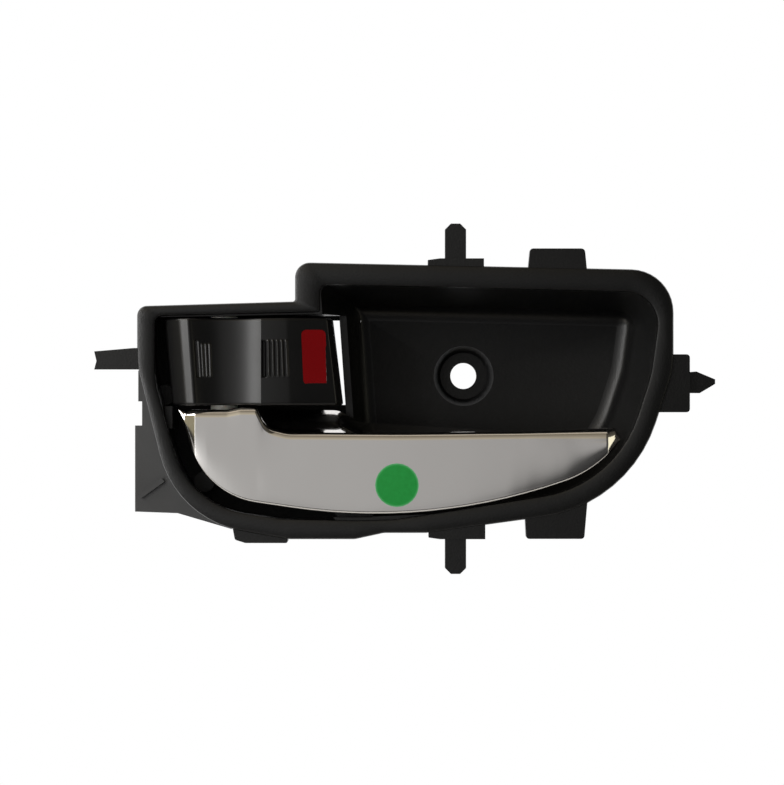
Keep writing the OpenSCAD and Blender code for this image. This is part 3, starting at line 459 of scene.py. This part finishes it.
bezel_y = -35.5
knob_left, knob_back, knob_lean = -16.6, 9.5, 0.1
knob_low, knob_top = -9.1, 17.4
knob_flare, knob_edge, knob_bore = 3.2, 0.9, 3.3
marker_x, marker_z = 28.0, 5.5


def knob_profile():
    """The rocker's outline from above, as (x from the pivot, y from the bezel's face), from the back of its
    left end over the ridge, the dish and the lip to the back of its right end. Samples are evenly spaced."""
    front = rounded_line([
        (knob_left, knob_back), (knob_left, 3.7, 1.8), (-12.0, -0.2, 4.5), (-9.2, -1.42, 1.3),
        (-8.2, -0.8, 0.8), (1.7, 4.35, 21), (11.8, -0.85, 0.4), (19.6, -1.05, 8), (31.9, 0.12, 0.6),
        (33.0, 6.0, 8), (33.4, knob_back)], 60)
    step = np.concatenate([[0], np.cumsum(np.linalg.norm(np.diff(front, axis=0), axis=1))])
    even = np.linspace(0, step[-1], 460)
    return np.stack([np.interp(even, step, front[:, 0]), np.interp(even, step, front[:, 1])], 1)


def pin_groove():
    """A round groove about the pivot in the rocker's back, from right to left, so that the pin turns free."""
    axis = pivot_y - bezel_y
    start = math.asin((axis - knob_back) / knob_bore)
    turn = np.linspace(start, math.pi - start, 25)
    return np.stack([knob_bore * np.cos(turn), axis - knob_bore * np.sin(turn)], 1)


def flared(x, z):
    """How far the right end is carried to the right: the distance past the dish as a share of the end's run,
    times the depth below the top edge as a share of the rocker's height, times the flare."""
    dish_end, end_run = 12, 21
    return np.clip((x - dish_end) / end_run, 0, 1) * (knob_top - z) / (knob_top - knob_low) * knob_flare


def knob_relief(x, z):
    """Relief on the rocker's front, outwards: ribs are rounded bars, the slots and the marker's seat sink."""
    def inside(value, low, high, soft):
        return np.clip((value - low) / soft, 0, 1) * np.clip((high - value) / soft, 0, 1)

    relief = np.zeros_like(x)
    # Ribs: centres, half width, height, foot, head and softness of their ends
    for centres, half, high, foot, head, soft in (
            ((14.0, 15.3, 16.6, 17.9, 19.2), 0.36, 0.5, -0.5, 10.8, 0.5),
            ((-5.8, -4.7, -3.6), 0.34, 0.30, -0.8, 9.9, 0.6)):
        for centre in centres:
            bar = np.clip(1 - ((x - centre) / half) ** 2, 0, None) ** 0.5
            relief += high * bar * inside(z, foot, head, soft)
    # Slots beside the ribs: where each starts, and its depth
    slot_wide, slot_soft = 1.3, 0.45
    for start, deep in ((12.0, 1.3), (-8.1, 0.7)):
        relief -= deep * inside(x, start, start + slot_wide, slot_soft) * inside(z, -0.7, 10.6, 0.25)
    seat_deep, seat_half, seat_tall, seat_soft, seat_slope = 0.5, 3.4, 7.9, 0.2, 0.042
    seat = x + flared(x, z) - (marker_z - z) * seat_slope
    relief -= (seat_deep * inside(seat, marker_x - seat_half, marker_x + seat_half, seat_soft)
               * inside(z, marker_z - seat_tall, marker_z + seat_tall, seat_soft))
    return relief


profile = knob_profile()
tangent = np.gradient(profile, axis=0)
tangent /= np.linalg.norm(tangent, axis=1)[:, None]
outward = np.stack([tangent[:, 1], -tangent[:, 0]], 1)
groove = pin_groove()
profile, outward = np.concatenate([profile, groove]), np.concatenate([outward, np.zeros_like(groove)])
columns = len(profile)

# Rows of the outline from bottom to top, drawn in by a quarter circle at both edges
bend = np.radians(np.linspace(0, 90, 7))
flank = np.linspace(knob_low + knob_edge, knob_top - knob_edge, 120)[1:-1]
z_rows = np.concatenate([knob_low + knob_edge * (1 - np.cos(bend)), flank,
                         knob_top - knob_edge * (1 - np.sin(bend))])
sunk = np.concatenate([knob_edge * (1 - np.sin(bend)), np.zeros(len(flank)), knob_edge * (1 - np.cos(bend))])
level = np.repeat(z_rows[:, None], columns, 1)
relief = knob_relief(np.repeat(profile[None, :, 0], len(z_rows), 0), level)
relief_back = 3.5
relief *= (profile[:, 1] < relief_back)[None]
xy = profile[None] - outward[None] * sunk[:, None, None]
xy = xy + outward[None] * relief[:, :, None]
lean = knob_lean * (4 - level) * np.interp(xy[:, :, 0], [knob_left, -10.6, -8.4, 1.7], [1, 0.7, 0.7, 0])
knob_x = pivot_x + xy[:, :, 0] + lean + flared(xy[:, :, 0], level)
points = np.stack([knob_x, bezel_y + xy[:, :, 1], level], 2)
skin_faces = grid_faces(len(z_rows), columns, True).tolist()
lids = [list(range(columns)), list(range((len(z_rows) - 1) * columns, len(z_rows) * columns))[::-1]]
crown_past_pivot = 0.009
gloss_black = plastic("polished black", (0.0030, 0.0030, 0.0032), 1200.0, 0.015, 0.345, drift=0.1, dust=0.03,
                      crown=(0, 6.0, pivot_x * 0.001 + crown_past_pivot))
knob = mesh_piece("lock_knob_polished", points, skin_faces + lids, "rocker", gloss_black,
                  sharp=55)
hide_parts("lock_knob")


# Lock marker: a red moulded insert, snapped flush into its seat in the rocker. It shows when the door is
# unlocked.

paint(smooth_copy("lock_marker", "rocker"),
      plastic("red insert", (0.19, 0.0006, 0.0020), 2600.0, 0.05, 0.34, drift=0.12, dust=0.02,
              Specular_IOR_Level=0.12))


# Round dot: a bare green inspection sticker on the lever's face, a thin printed film. Its ink thins towards
# the cut edge, where the paper shows as a pale ring.

def printed_film(centre, radius):
    """Green film: ink tone drifts a little, and a ring at the cut edge fades to pale green."""
    material, tree, shader = new_material("green film", Roughness=0.42, Specular_IOR_Level=0.3)
    place = add(tree, "TexCoord").outputs["Object"]
    apart = add(tree, "VectorMath", [(place, 0)], operation="SUBTRACT", in_1=centre)
    flat = add(tree, "VectorMath", [(apart.outputs[0], 0)], operation="MULTIPLY", in_1=(1, 0, 1))
    reach = add(tree, "VectorMath", [(flat.outputs[0], 0)], operation="LENGTH").outputs["Value"]
    rim = rescaled(tree, reach, (radius * 0.90, radius * 0.99))
    cloud = noise(tree, place, 900.0, 4.0)
    ink = blended(tree, cloud, (0.010, 0.27, 0.040), (0.018, 0.36, 0.065))
    bump = add(tree, "Bump", [(cloud, "Height")], in_Strength=0.1, in_Distance=0.00003)
    feed(tree, shader, Base_Color=blended(tree, rim, ink, (0.12, 0.50, 0.20)), Normal=bump.outputs[0])
    return material


dot = smooth_copy("inspection_dot", "lever", sharp=60)
corners = np.array([corner[:] for corner in dot.bound_box])
dot_middle = (corners.min(0) + corners.max(0)) / 2
paint(dot, printed_film(tuple(dot_middle), float(np.ptp(corners[:, 0])) / 2))


# Studio: pale paper floor in a white room. Camera rays see both as white, and so do mirrors that look back
# past the handle. The room's light is dim in front, with a grey glow beside the camera that brightens to the
# left and turns cream upwards. Lamps: a tall softbox on the left, one high at the side, an overhead panel
# and a warm panel on the right.

def white_to_eyes(tree, plain, white, behind, end):
    """White for camera and transmission rays, and for mirrored rays as far as behind is 1. All other rays
    meet the plain shader."""
    rays = add(tree, "LightPath").outputs
    mirrored = reckon(tree, "MULTIPLY", rays["Is Glossy Ray"], behind)
    direct = reckon(tree, "MAXIMUM", rays["Is Camera Ray"], rays["Is Transmission Ray"])
    seen = reckon(tree, "MAXIMUM", direct, mirrored)
    both = add(tree, "MixShader", [(seen, 0), (plain.outputs[0], 1), (white.outputs[0], 2)])
    tree.links.new(both.outputs[0], tree.nodes[end].inputs["Surface"])


paper = bpy.data.materials.new("pale paper")
paper.use_nodes = True
tree = paper.node_tree
tree.nodes.remove(tree.nodes["Principled BSDF"])
place = add(tree, "TexCoord").outputs["Object"]
past_handle = rescaled(tree, add(tree, "SeparateXYZ", [(place, 0)]).outputs["Y"], (0.10, 0.14))
tone = rescaled(tree, noise(tree, place, 300.0), (0.0, 1.0), (0.80, 0.84))
matt = add(tree, "BsdfDiffuse", [(tone, "Color")])
white_to_eyes(tree, matt, add(tree, "Emission", in_Strength=1.0), past_handle, "Material Output")

half_wide, floor_near, floor_far, floor_z = 2.2, -0.2, 0.9, -0.19
mesh = bpy.data.meshes.new("paper floor")
mesh.from_pydata([(x, y, floor_z) for y in (floor_near, floor_far) for x in (-half_wide, half_wide)],
                 [], [(0, 1, 3, 2)])
floor = bpy.data.objects.new("paper floor", mesh)
bpy.context.scene.collection.objects.link(floor)
paint(floor, paper)


def ramp(tree, value, stops):
    """A colour ramp over a value from -1 to 1. Stops are (value, colour)."""
    node = add(tree, "ValToRGB", [(rescaled(tree, value, (-1.0, 1.0)), "Fac")])
    while len(node.color_ramp.elements) < len(stops):
        node.color_ramp.elements.new(0.5)
    for element, (at, colour) in zip(node.color_ramp.elements, stops):
        element.position, element.color = (at + 1) / 2, (*colour, 1)
    return node


world = bpy.data.worlds.new("studio room")
bpy.context.scene.world = world
world.use_nodes = True
tree = world.node_tree
shown = tree.nodes["Background"]
shown.inputs["Color"].default_value = (1, 1, 1, 1)
shown.inputs["Strength"].default_value = 1.0
way = add(tree, "SeparateXYZ", [(add(tree, "TexCoord").outputs["Generated"], 0)]).outputs

# Across: olive at the far left, bright at the left, grey beside the camera, then a sharp edge to dim
across = ramp(tree, way["X"], [
    (-1.0, (0.10, 0.09, 0.07)), (-0.990, (0.03, 0.03, 0.03)), (-0.975, (0.03, 0.03, 0.03)),
    (-0.962, (0.30, 0.27, 0.18)), (-0.86, (0.32, 0.285, 0.19)), (-0.60, (1.3, 1.28, 1.26)),
    (-0.34, (0.72, 0.715, 0.71)), (-0.15, (0.44, 0.435, 0.43)), (0.162, (0.40, 0.395, 0.39)),
    (0.212, (0.05, 0.05, 0.05)), (1.0, (0.10, 0.10, 0.10))])
# Upwards: dark below, front glow, then cream, then brown overhead
upward = ramp(tree, way["Z"], [
    (-0.42, (0.18, 0.18, 0.18)), (-0.21, (1, 1, 1)), (0.24, (1, 1, 1)), (0.46, (1.15, 1.04, 0.82)),
    (0.80, (0.72, 0.64, 0.50)), (0.97, (0.40, 0.34, 0.26))])
front = rescaled(tree, way["Y"], (0.1, -0.1), (0.25, 1.0), interpolation_type="SMOOTHSTEP")
behind = rescaled(tree, way["Y"], (0.05, 0.25))
walls = add(tree, "VectorMath", [(across.outputs[0], 0), (upward.outputs[0], 1)], operation="MULTIPLY")
faced = add(tree, "VectorMath", [(walls.outputs[0], 0), (front, "Scale")], operation="SCALE").outputs[0]
back_grey = (0.6, 0.6, 0.6)
room = add(tree, "Background", [(blended(tree, behind, faced, back_grey), "Color")], in_Strength=1.0)
white_to_eyes(tree, room, shown, behind, "World Output")


def softbox(name, place, target, size, power, colour):
    """A rectangular area lamp at a place, turned to face the target."""
    lamp = bpy.data.lights.new(name, "AREA")
    lamp.shape = "RECTANGLE"
    lamp.size, lamp.size_y = size
    lamp.energy = power
    lamp.color = colour
    box = bpy.data.objects.new(name, lamp)
    bpy.context.scene.collection.objects.link(box)
    box.location = place
    away = np.array(target) - np.array(place)
    box.rotation_euler = (math.atan2(math.hypot(away[0], away[1]), -away[2]), 0,
                          math.atan2(away[1], away[0]) - math.pi / 2)


softbox("key", (-0.72, -0.62, 0.12), (-0.04, -0.03, 0), (0.30, 0.75), 3.6, (1.0, 1.0, 1.0))
softbox("overhead", (0.0, -0.10, 0.95), (0.0, -0.02, 0), (1.0, 0.40), 0.45, (1.0, 0.90, 0.74))
softbox("high side", (-0.74, -0.22, 0.60), (0.0, -0.02, 0), (0.42, 0.42), 2.6, (1.0, 1.0, 1.0))
softbox("panel", (0.85, -0.26, 0.05), (0.0, -0.02, 0), (0.3, 0.5), 0.5, (1.0, 0.94, 0.70))


# Camera: 800 mm in front of the bezel, level, a little left of the screw hole, as in the photograph. Its
# lens sets the photograph's scale of 3.3 pixels a millimetre at the bezel.

seen_from = bpy.data.cameras.new("photograph")
seen_from.sensor_width = 36.0
seen_from.lens = 121.06
seen_from.clip_start, seen_from.clip_end = 0.05, 20.0
camera = bpy.data.objects.new("photograph", seen_from)
camera.location = (-0.0225, -0.8355, -0.0052)
camera.rotation_euler = (math.pi / 2, 0, 0)
bpy.context.scene.collection.objects.link(camera)
bpy.context.scene.camera = camera
bpy.context.scene.view_settings.view_transform = "Standard"
